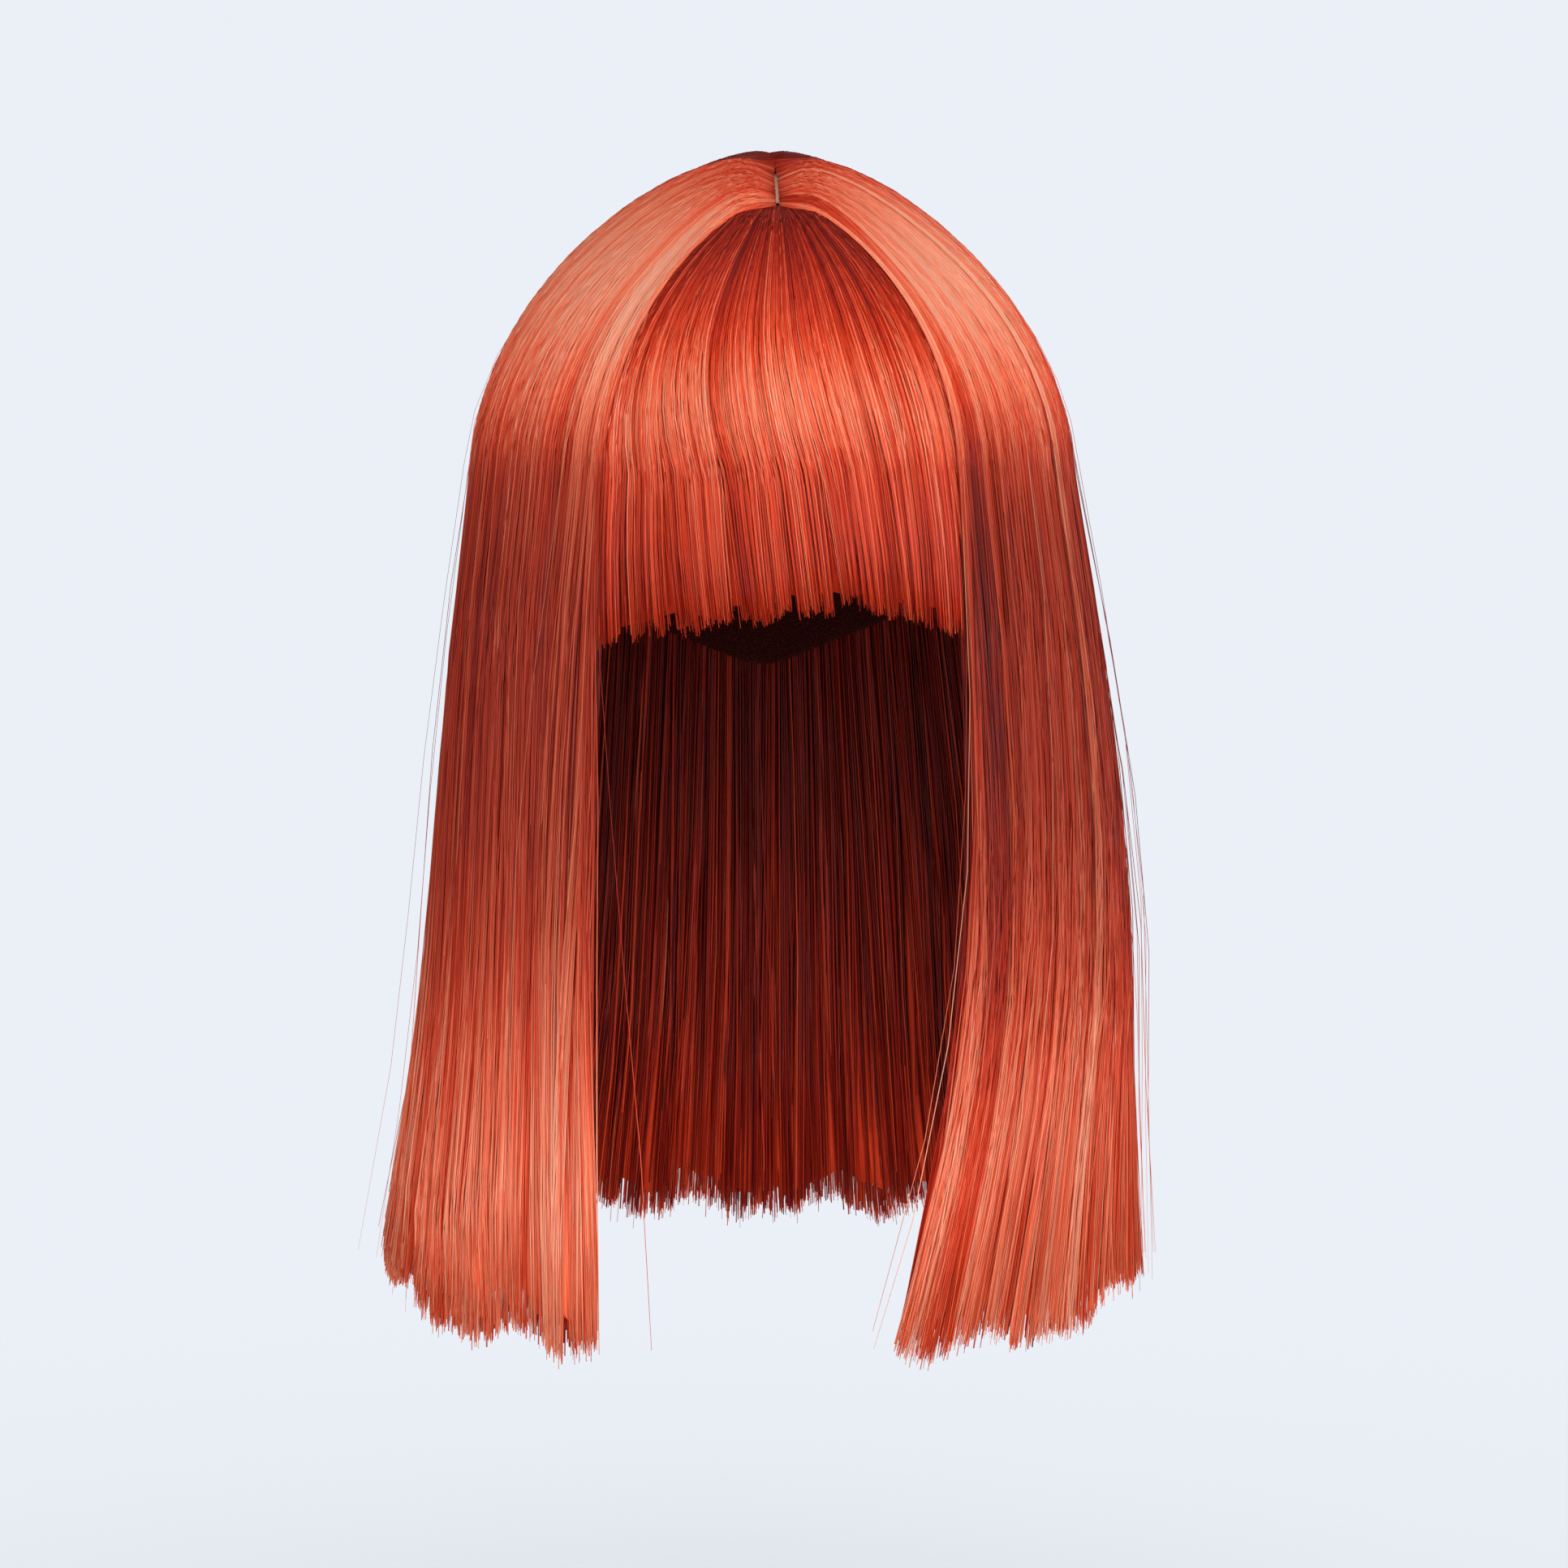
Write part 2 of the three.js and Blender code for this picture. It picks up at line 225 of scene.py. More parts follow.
# The falling hair at each share of the curtain's length: half widths and face edges as shares of
# the brow's half width, depths as shares of the brow's depth
FALL = [
    dict(drop=0, left=1, right=1, front=1, back=1, left_edge=0.585, right_edge=0.585),
    dict(drop=0.12, left=1.042, right=1.06, front=0.975, back=0.99, left_edge=0.62, right_edge=0.62),
    dict(drop=0.32, left=1.1, right=1.145, front=0.92, back=0.96, left_edge=0.622, right_edge=0.63),
    dict(drop=0.52, left=1.142, right=1.2, front=0.9, back=0.915, left_edge=0.62, right_edge=0.618),
    dict(drop=0.73, left=1.2, right=1.213, front=0.9, back=0.9, left_edge=0.62, right_edge=0.548),
    dict(drop=0.85, left=1.268, right=1.193, front=0.9, back=0.9, left_edge=0.61, right_edge=0.482),
    dict(drop=0.93, left=1.3, right=1.223, front=0.9, back=0.905, left_edge=0.603, right_edge=0.425),
    dict(drop=1, left=1.285, right=1.275, front=0.9, back=0.925, left_edge=0.595, right_edge=0.36),
]

# How thick the hair lies along its way, as a share of its full thickness
THICKNESS = [
    dict(way=0, share=0.12),
    dict(way=0.2, share=0.17),
    dict(way=0.5, share=0.34),
    dict(way=0.8, share=0.7),
    dict(way=1, share=0.96),
    dict(way=1.4, share=1),
    dict(way=1.85, share=0.85),
    dict(way=2, share=0.5),
]
print("rows of the fall:", len(FALL), "rows of the thickness:", len(THICKNESS))

# %% Sums on whole arrays
def lerp(low, high, share):
    return low + (high - low) * share


def smoothstep(value, low, high):
    rise = np.clip((value - low) / (high - low), 0, 1)
    return rise * rise * (3 - 2 * rise)


def follow(table, key, name, at):
    """A column of a table, followed smoothly from row to row."""
    keys = np.array([row[key] for row in table], float)
    values = np.array([row[name] for row in table], float)
    row = np.searchsorted(keys[1:-1], at)
    before = np.maximum(row - 1, 0)
    after = np.minimum(row + 2, len(keys) - 1)
    span = keys[row + 1] - keys[row]
    t = np.clip((at - keys[row]) / span, 0, 1)
    slope_in = (values[row + 1] - values[before]) / (keys[row + 1] - keys[before]) * span
    slope_out = (values[after] - values[row]) / (keys[after] - keys[row]) * span
    bend = t * (1 - t) * ((1 - t) * slope_in - t * slope_out)
    return lerp(values[row], values[row + 1], t * t * (3 - 2 * t)) + bend


def of_side(side, name, drop):
    left = follow(FALL, "drop", "left" + name, drop)
    right = follow(FALL, "drop", "right" + name, drop)
    return BROW_HALF_WIDTH * np.where(side < 0, left, right)


# %% The head under the hair
def head_share(x, y, grown):
    half = np.where(y < 0, HEAD_FRONT, HEAD_BACK)
    across = (np.abs(x) / (HEAD_HALF_WIDTH + grown)) ** 2
    return across + (np.abs(y) / (half + grown)) ** HEAD_LENGTH_POWER


def head_level(x, y, grown):
    share = np.minimum(1, head_share(x, y, grown))
    return grown - (HEAD_DOME + grown) * (1 - np.sqrt(1 - share))


def clear_of_cap(place):
    x, y, z = np.moveaxis(place, -1, 0)
    below = -HEAD_DOME - z
    spread = np.maximum(0, 1 - NAPE_TAPER * (below / NAPE_REACH) ** 2)
    beside = head_share(x, y, CAP_ROOM) > spread**2
    return np.where(below > 0, beside, z > head_level(x, y, CAP_ROOM))


# %% The outside of the hair
def width_share(x, half_width):
    def raised(length):
        soft = HAIR_WIDTH_SOFTNESS**HAIR_WIDTH_POWER
        return (length**2 + HAIR_WIDTH_SOFTNESS**2) ** (HAIR_WIDTH_POWER / 2) - soft

    return raised(x) / raised(half_width)


def place_of_share(share, half_width):
    soft = HAIR_WIDTH_SOFTNESS**HAIR_WIDTH_POWER
    full = (half_width**2 + HAIR_WIDTH_SOFTNESS**2) ** (HAIR_WIDTH_POWER / 2) - soft
    squared = (share * full + soft) ** (2 / HAIR_WIDTH_POWER) - HAIR_WIDTH_SOFTNESS**2
    return np.sqrt(np.maximum(0, squared))


def dome_level(x, y):
    share = width_share(x, BROW_HALF_WIDTH) + (np.abs(y) / BROW_DEPTH) ** HAIR_LENGTH_POWER
    hump = smoothstep(y, HUMP_START_Y, HUMP_END_Y)
    hump = hump * (1 - smoothstep(np.abs(x), 0, HUMP_HALF_WIDTH))
    top = CROWN_LIFT + HUMP_LIFT * hump
    return lerp(BROW_LEVEL, top, np.maximum(0, 1 - share) ** HAIR_FALL_POWER)


def ring_place(side, round_, drop):
    width = of_side(side, "", drop)
    face = np.arcsin(np.sqrt(width_share(of_side(side, "_edge", drop), width)))
    angle = np.where(round_ < 0, face * (1 + round_), lerp(face, math.pi, round_))
    front = follow(FALL, "drop", "front", drop)
    back = follow(FALL, "drop", "back", drop)
    depth = BROW_DEPTH * np.where(np.cos(angle) > 0, -front, back)
    x = side * place_of_share(np.sin(angle) ** 2, width)
    return x, depth * np.abs(np.cos(angle)) ** (2 / HAIR_LENGTH_POWER)


def root_place(side, round_):
    crowded = np.maximum(0, 1 - np.maximum(round_, 0)) ** ROOT_CROWDING
    y = lerp(WHORL_Y, PARTING_FRONT_Y, crowded)
    half = lerp(PARTING_HALF_WIDTH, WHORL_HALF_WIDTH, smoothstep(y, STRIP_BACK_Y, WHORL_Y))
    x = side * np.where(round_ < 0, PARTING_HALF_WIDTH * (1 + round_), half)
    return x, y


def hair_place(turn, way, length):
    """Places on the outside of the hair, in millimetres."""
    side = np.where(turn < 0, -1.0, 1.0)
    round_ = np.minimum(np.abs(turn), 2) - 1
    fallen = np.maximum(way - 1, 0) * length
    fall_x, fall_y = ring_place(side, round_, fallen / CURTAIN_LENGTH)
    root_x, root_y = root_place(side, round_)
    brow_x, brow_y = ring_place(side, round_, 0 * way)
    share = np.sin(np.clip(way, 0, 1) * math.pi / 2) ** ARCH_POWER
    x = lerp(root_x, brow_x, share)
    y = lerp(root_y, brow_y, share)
    reach = share * np.hypot(brow_x - root_x, brow_y - root_y)
    low = head_level(x, y, 0) + ROOT_LEVEL
    level = lerp(low, dome_level(x, y), smoothstep(reach, 0, PARTING_RISE))
    hangs = way > 1
    columns = (np.where(hangs, fall_x, x), np.where(hangs, fall_y, y))
    return np.stack([*columns, np.where(hangs, BROW_LEVEL - fallen, level)], -1)


tip = hair_place(np.array([1.1]), np.array([2.0]), CURTAIN_LENGTH)[0]
print("tip beside the face, right side, mm:", tip.round(1))

# %% Directions on the hair, and how thick it lies
TURN_STEP = 0.01
WAY_STEP = 0.01
LEAST_WAY = 0.02
EDGE_THINNING = 0.6
EDGE_THINNING_ROUND = 0.3
FULL_FORM_WAY = 0.4
BISECTIONS = 6


def unit(vectors):
    return vectors / np.maximum(np.linalg.norm(vectors, axis=-1, keepdims=True), 1e-9)


def hair_directions(turn, way, length):
    """The direction across the hair, towards a greater turn, and the direction out of it."""
    steady = np.clip(way, LEAST_WAY, 2 - WAY_STEP)
    across = hair_place(turn + TURN_STEP, steady, length) - hair_place(turn - TURN_STEP, steady, length)
    down = hair_place(turn, steady + WAY_STEP, length) - hair_place(turn, steady - WAY_STEP, length)
    return unit(across), unit(np.cross(down, across))


def thickness_at(turn, way):
    full = smoothstep(way, 0, FULL_FORM_WAY)
    round_ = np.maximum(np.abs(turn) - 1, 0)
    beside = lerp(EDGE_THINNING, 1, smoothstep(round_, 0, EDGE_THINNING_ROUND))
    return HAIR_THICKNESS * lerp(1, beside, full) * follow(THICKNESS, "way", "share", way)


def room_over_cap(place, out, wanted):
    """How deep a strand can lie before it meets the cap."""
    clear = np.zeros_like(wanted)
    blocked = wanted * 1.0
    free = clear_of_cap(place - out * wanted[..., None])
    for _ in range(BISECTIONS):
        middle = (clear + blocked) / 2
        passes = clear_of_cap(place - out * middle[..., None])
        clear = np.where(passes, middle, clear)
        blocked = np.where(passes, blocked, middle)
    return np.where(free, wanted, clear)


def under_surface(turn, way, length, sunk, aside):
    """Places below the outside: sunk is a share of the hair's thickness, aside is millimetres."""
    place = hair_place(turn, way, length)
    across, out = hair_directions(turn, way, length)
    room = room_over_cap(place, out, thickness_at(turn, way))
    return place - out * (room * sunk)[..., None] + across * aside[..., None], out


# %% [markdown]
# ## Strands as closed tubes
# A fibre is far thinner than a pixel, so each tube stands for a small bunch of fibres. It has
# three sides, because smooth shading makes three look round at this size, and a face at each end,
# so that it is a closed body. All the tubes of a lock are one mesh, filled straight from arrays.
# Each tube also carries its own tone and its way along the lock in a UV map. The material reads
# only that map, so the colour belongs to the strand and never slides.

# %% A mesh from many paths
TUBE_SIDES = 3
UV_MAP = "OFBake"
TONE_STEP = 0.006
UV_MARGIN = 0.02


def tube_faces(strands, stations):
    """Four corners for each side face, and three for each end, of all the tubes."""
    ring = np.arange(TUBE_SIDES)
    following = (ring + 1) % TUBE_SIDES
    low = (np.arange(stations - 1) * TUBE_SIDES)[:, None]
    sides = np.stack([low + ring, low + following, low + following + TUBE_SIDES, low + ring + TUBE_SIDES], -1)
    first = (np.arange(strands) * stations * TUBE_SIDES)[:, None, None]
    sides = sides.reshape(1, -1, 4) + first
    ends = np.stack([ring[::-1], ring + (stations - 1) * TUBE_SIDES])[None] + first
    return sides.reshape(-1, 4), ends.reshape(-1, TUBE_SIDES)


def tube_corners(paths, outs, radii, twist):
    along = unit(np.gradient(paths, axis=1))
    rise = unit(outs - along * np.sum(outs * along, -1, keepdims=True))
    beside = np.cross(along, rise)
    angle = twist[:, None, None] + np.arange(TUBE_SIDES) * 2 * math.pi / TUBE_SIDES
    reach = radii[..., None]
    ring = (reach * np.cos(angle))[..., None] * rise[:, :, None] + (reach * np.sin(angle))[..., None] * beside[:, :, None]
    return paths[:, :, None] + ring


def mesh_of_tubes(name, corners, tones, ways):
    strands, stations = ways.shape
    sides, ends = tube_faces(strands, stations)
    mesh = bpy.data.meshes.new(name)
    loops = np.concatenate([sides.ravel(), ends.ravel()]).astype(np.int32)
    starts = np.concatenate([np.arange(len(sides)) * 4, sides.size + np.arange(len(ends)) * TUBE_SIDES])
    mesh.vertices.add(corners.size // 3)
    mesh.vertices.foreach_set("co", (corners * MM).astype(np.float32).ravel())
    mesh.loops.add(len(loops))
    mesh.loops.foreach_set("vertex_index", loops)
    mesh.polygons.add(len(starts))
    mesh.polygons.foreach_set("loop_start", starts.astype(np.int32))
    mesh.polygons.foreach_set("use_smooth", np.ones(len(starts), bool))
    place = np.empty((strands, stations, TUBE_SIDES, 2))
    place[..., 0] = tones[..., None] + (np.arange(TUBE_SIDES) - 1) * TONE_STEP
    place[..., 1] = lerp(UV_MARGIN, 1 - UV_MARGIN, ways / 2)[:, :, None]
    place[:, (0, -1), 1, 1] += np.array([TONE_STEP, -TONE_STEP])
    uv_map = mesh.uv_layers.new(name=UV_MAP)
    uv_map.data.foreach_set("uv", place.reshape(-1, 2)[loops].astype(np.float32).ravel())
    mesh.update(calc_edges=True)
    piece = bpy.data.objects.new(name, mesh)
    bpy.context.scene.collection.objects.link(piece)
    return piece


# %% [markdown]
# ## How strands gather
# Straight hair doesn't hang evenly. Fibres gather into flat bunches a few millimetres wide, which
# draw together towards their tips, wander a little to each side, and differ a little in tone. A
# bunch is a centre with a slow wave of its own, and each strand leans towards the nearest one.

# %% Bunches and single strands
MM_PER_TURN = 245
TONE_RANGE = (0.04, 0.96)


def bump_between(value, low, middle, high):
    return smoothstep(value, low, middle) * (1 - smoothstep(value, middle, high))


def slow_wave(ways, size, cycles, generator):
    """A gentle wave along each row's way, still over the dome."""
    count = len(ways)
    phase = generator.uniform(0, 2 * math.pi, (count, 1))
    pace = generator.uniform(*cycles, (count, 1)) * 2 * math.pi
    held = smoothstep(ways, 0.4, 1.5)
    return generator.normal(0, size, (count, 1)) * np.sin(pace * ways + phase) * held


def stations_of(starts, ends, dome_steps, fall_steps, generator):
    """The ways of each strand's stations, shifted a little so that no two strands bend together."""
    shift = generator.uniform(-0.45, 0.45, (len(starts), 1))
    over = np.arange(dome_steps + 1) + shift
    over[:, 0] = 0
    down = np.arange(1, fall_steps + 1) + shift
    down[:, -1] = fall_steps
    dome = starts[:, None] + (1 - starts[:, None]) * over / dome_steps
    over_brow = dome > 1
    dome = np.where(over_brow, 1 + (dome - 1) * 0.5, dome)
    fall = 1 + (ends[:, None] - 1) * np.maximum(down, 0.7) / fall_steps
    return np.concatenate([dome, fall], 1)


def strand_radii(ways, ends, radius):
    """Thin at the root, full below the crown, and drawn out to a point at the tip."""
    growth = lerp(0.55, 1, smoothstep(ways, 0, 0.5))
    taper = lerp(0.55, 1, smoothstep(ends[:, None] - ways, 0, 0.1))
    return radius[:, None] * growth * taper


class Bunches:
    """The bunches of one lock, and what each lends to its strands."""

    def __init__(self, span, count, generator):
        self.turn = generator.uniform(*span, count)
        self.sunk = generator.uniform(0, 1, count) ** 1.3
        self.tone = generator.normal(0, 0.08, count)
        self.pinch = generator.uniform(0.0, 0.12, count)
        self.reach = generator.normal(0, 1, count)
        self.phase = generator.uniform(0, 2 * math.pi, count)
        self.pace = generator.uniform(0.35, 0.8, count) * 2 * math.pi
        self.size = generator.normal(0, 1.4, count)

    def nearest(self, turn, sunk, mm_per_turn, thickness):
        gap = (turn[:, None] - self.turn) * mm_per_turn
        return np.argmin(gap**2 + ((sunk[:, None] - self.sunk) * thickness) ** 2, axis=1)

    def aside(self, chosen, ways):
        wave = np.sin(self.pace[chosen][:, None] * ways + self.phase[chosen][:, None])
        return self.size[chosen][:, None] * wave * smoothstep(ways, 0.5, 1.8)


# %% Tones by place, and the forms that all of a lock shares
LOBE_LIFT = 1.3
PARTING_SWELL = 2.4
WHORL_LIFT = 2.8
GROOVE = 0.1
FLYAWAY_SHARES = {-1: 0.015, 1: 0.04}
FLYAWAY_SUNK = 0.2
FLYAWAY_REACH = 3
FLYAWAY_MOST = 11
CROSSING_SHARE = 0.03
CROSSING_REACH = 7
# A few strands carry a painted highlight: their share, and how much lighter they are.
GLINT_SHARE = 0.04
PAINTED_GLINT = 0.22


def painted_lock_light(round_, way):
    """Painted light and shade: salmon sheen over the brow, shade at the crown, beside the cheeks and along the strip
    by the face, and light towards the tips.
    """
    # Painted shade at the crown.
    crown = (1 - smoothstep(way, 0.2, 0.65)) * smoothstep(round_, 0.28, 0.5)
    # Painted salmon sheen over the brow, weaker towards the back and at the edge over the fringe.
    over_brow = bump_between(way, 0.02, 0.55, 1.08) * (1 - 0.5 * smoothstep(round_, 0.15, 0.5))
    over_brow = over_brow * (1 - 0.3 * (1 - smoothstep(round_, 0, 0.05)))
    # Painted shade beside the cheeks.
    beside = bump_between(way, 0.8, 1.15, 1.65)
    # Painted light towards the tips, less at the back.
    tips = smoothstep(way, 1.5, 1.88) * (1 - 0.4 * smoothstep(way, 1.88, 1.98))
    tips = tips * (1 - smoothstep(round_, 0.4, 0.7))
    # Painted shade along the strip beside the face.
    strip = (1 - smoothstep(round_, 0.02, 0.07)) * bump_between(way, 0.95, 1.15, 1.75)
    return 0.48 + 0.36 * over_brow - 0.52 * crown - 0.1 * beside - 0.07 * strip + 0.26 * tips


def painted_fringe_light(share):
    """Painted shade by the parting, a painted highlight band where the fringe turns down, and painted shade again at
    the cut.
    """
    # Painted shade by the roots.
    roots = 1 - smoothstep(share, 0.2, 0.62)
    # Painted highlight band.
    band = bump_between(share, 0.5, 0.72, 0.92)
    # Painted shade again towards the cut.
    return 0.45 - 0.33 * roots + 0.26 * band - 0.08 * smoothstep(share, 0.88, 1)


def strand_tones_and_glints(count, generator):
    """Each strand differs a little in tone from its neighbours, and a few carry a painted highlight."""
    pale = generator.random(count) < GLINT_SHARE
    return generator.normal(0, 0.11, count) + np.where(pale, PAINTED_GLINT, 0)


def flyaway_reach(side, count, generator):
    """How far the few loose strands stand off the rest, in millimetres."""
    loose = generator.random(count) < FLYAWAY_SHARES[side]
    return np.where(loose, np.minimum(generator.exponential(FLYAWAY_REACH, count), FLYAWAY_MOST), 0)


def lobe_lift(round_, ways):
    """The edge that overlies the fringe stands off it, and the hair swells beside the parting.

    Behind the parting the roots rise, so that the two sides close over each other.
    """
    edge = LOBE_LIFT * bump_between(ways, 0.05, 0.6, 1.5) * (1 - smoothstep(round_, 0, 0.1))
    beside = smoothstep(round_, -0.02, 0.1) * (1 - smoothstep(round_, 0.25, 0.5))
    swell = PARTING_SWELL * bump_between(ways, 0, 0.14, 0.5) * beside
    closed = WHORL_LIFT * (1 - smoothstep(ways, 0, 0.15)) * smoothstep(round_, 0.3, 0.5)
    return edge + swell + closed


def groove_depth(over, ways):
    """Locks are rounded: their two borders lie deeper, as a share of the thickness."""
    return GROOVE * smoothstep(ways, 0, FULL_FORM_WAY) * (2 * over - 1) ** 2


# %% One layer of a lock
FORWARD_SWEEP = 0.05
ROOT_CLOSING = 0.9
WHORL_CROSSING = 2.4
LAYERS = [
    dict(name="outer", sunk=(0, 0.3), start=(0, 0.03), share=0.7, fall=5, radius=0.21),
    dict(name="inner", sunk=(0.45, 1), start=(0.6, 0.9), share=0.3, fall=4, radius=0.36),
]
INNER_DOME_STEPS = 1


def triangles_of(piece):
    return sum(len(face.vertices) - 2 for face in piece.data.polygons)


def lock_layer(name, side, span, tips, layer, dome_steps, count, generator):
    low, high = span
    sunk = lerp(*layer["sunk"], generator.uniform(0, 1, count) ** 1.4)
    round_ = generator.uniform(low - 0.006, high + 0.006, count)
    bunches = Bunches(span, round(250 * (high - low)) + 6, generator)
    chosen = bunches.nearest(round_, sunk, MM_PER_TURN, HAIR_THICKNESS)
    starts = generator.uniform(*layer["start"], count)
    shorter = generator.normal(0, 1.5, count) + generator.exponential(2.6, count) + 3 * sunk**2 - 1
    shorter += np.where(generator.random(count) < 0.05, generator.uniform(5, 45, count), 0)
    ends = 1 + (tips(round_) + 0.6 * bunches.reach[chosen] - shorter) / CURTAIN_LENGTH
    ways = stations_of(starts, ends, dome_steps, layer["fall"], generator)
    pull = bunches.pinch[chosen][:, None] * smoothstep(ways, 0.5, 1.7)
    turn = lerp(round_[:, None], bunches.turn[chosen][:, None], pull)
    sweep = FORWARD_SWEEP * smoothstep(ways, 0.05, 0.5) * (1 - smoothstep(ways, 1, 1.6))
    turn = side * (1 + turn - sweep * (1 - smoothstep(turn, 0, 0.12)))
    stray = np.where(generator.random(count) < 0.06, 3.5, 1.0)[:, None]
    aside = bunches.aside(chosen, ways) + stray * slow_wave(ways, 0.5, (0.3, 1.0), generator)
    flyaway = flyaway_reach(side, count, generator) * (sunk < FLYAWAY_SUNK)
    crossing = (generator.random(count) < CROSSING_SHARE) * (sunk < FLYAWAY_SUNK) * CROSSING_REACH
    sideways = (flyaway + crossing) * generator.normal(0, 1.2, count)
    aside = aside + sideways[:, None] * smoothstep(ways, 0.8, 2)
    over = np.clip((round_ - low) / (high - low), 0, 1)[:, None]
    depth = sunk[:, None] + 0.02 * slow_wave(ways, 1, (0.4, 1.2), generator) * stray
    depth = depth + groove_depth(over, ways) * (1 - sunk[:, None])
    paths, outs = under_surface(turn, ways, CURTAIN_LENGTH, np.clip(depth, -0.3, 1), aside)
    away = lobe_lift(round_[:, None], ways) + flyaway[:, None] * smoothstep(ways, 0.5, 1.7)
    paths = paths + outs * away[..., None]
    closing = lerp(ROOT_CLOSING, WHORL_CROSSING, smoothstep(round_, 0.25, 0.5))
    closing = closing * generator.uniform(0.3, 1, count)
    paths[..., 0] -= side * closing[:, None] * (1 - smoothstep(ways, 0.0, 0.16))
    radius = layer["radius"] * generator.uniform(0.6, 1.3, count) * np.where(flyaway > 0, 0.5, 1)
    corners = tube_corners(paths, outs, strand_radii(ways, ends, radius), generator.uniform(0, 6.3, count))
    # Deeper strands get painted shade.
    own = bunches.tone[chosen] + strand_tones_and_glints(count, generator) - 0.3 * smoothstep(sunk, 0.3, 0.7)
    quiet = 1 - 0.2 * bump_between(ways, 0.05, 0.5, 1.1)
    tones = own[:, None] * quiet + painted_lock_light(round_[:, None], ways)
    return mesh_of_tubes(name, corners, np.clip(tones, *TONE_RANGE), ways)


# %% The locks of both sides
LOCKS = [
    dict(name="front_lock", span=(0, 0.17), strands=1050, dome=12),
    dict(name="temple_lock", span=(0.17, 0.34), strands=950, dome=12),
    dict(name="side_lock", span=(0.34, 0.54), strands=1000, dome=9),
    dict(name="rear_lock", span=(0.54, 0.77), strands=1050, dome=8),
    dict(name="back_lock", span=(0.77, 1), strands=1050, dome=8),
]
BACK_LENGTH_LESS = 10
SIDE_TIPS_LESS = 5
TIP_RAGGED = 3
TIP_WAVES = 17


def tip_lengths(order):
    def length(round_):
        ragged = TIP_RAGGED * np.sin((round_ * TIP_WAVES + order) * math.pi)
        less = BACK_LENGTH_LESS * smoothstep(round_, 0.1, 0.5)
        return CURTAIN_LENGTH - less - SIDE_TIPS_LESS * bump_between(round_, 0.15, 0.35, 0.7) + ragged

    return length


hair_pieces = {}
for side_name, side in (("left", -1), ("right", 1)):
    for order, lock in enumerate(LOCKS):
        node = f"{lock['name']}_{side_name}"
        hair_pieces[node] = []
        for layer in LAYERS:
            count = round(lock["strands"] * layer["share"])
            name = f"{node}_{layer['name']}"
            steps = lock["dome"] if layer["name"] == "outer" else INNER_DOME_STEPS
            piece = lock_layer(name, side, lock["span"], tip_lengths(order), layer, steps, count, random)
            hair_pieces[node].append(piece)
        print(node, "triangles:", sum(triangles_of(piece) for piece in hair_pieces[node]))

# %% The fringe
FRINGE_LENGTH = 38
FRINGE_SIDE_MORE = 10
FRINGE_STRANDS = 1950
FRINGE_HALF_WIDTH = 51
FRINGE_SUNK = 0.04
FRINGE_EDGE_SUNK = 0.3
FRINGE_DEEPEST = 0.75
FRINGE_ROOT_SPREAD = 6
FRINGE_BUNCHES = 150
FRINGE_WISPS = 17
FRINGE_WISP_PULL = 0.2
FRINGE_DOME_STEPS = 12
FRINGE_FALL_STEPS = 4


def fringe_sweep(over, tipwards):
    """The fringe is combed a little to one side, least at its two edges."""
    most = 0.34 * smoothstep(over, -1.2, -0.6) * (1 - 0.8 * smoothstep(over, -0.1, 1))
    return most * smoothstep(tipwards, 0.5, 1.25)


def fringe_depth(turn, ways, sunk):
    """The fringe lies deeper at its edges, under the locks that overlie it."""
    edge = FRINGE_EDGE_SUNK * smoothstep(np.abs(turn), 0.6, 0.95) * smoothstep(ways, 0, 0.5)
    return lerp(FRINGE_SUNK + edge, FRINGE_DEEPEST, sunk)


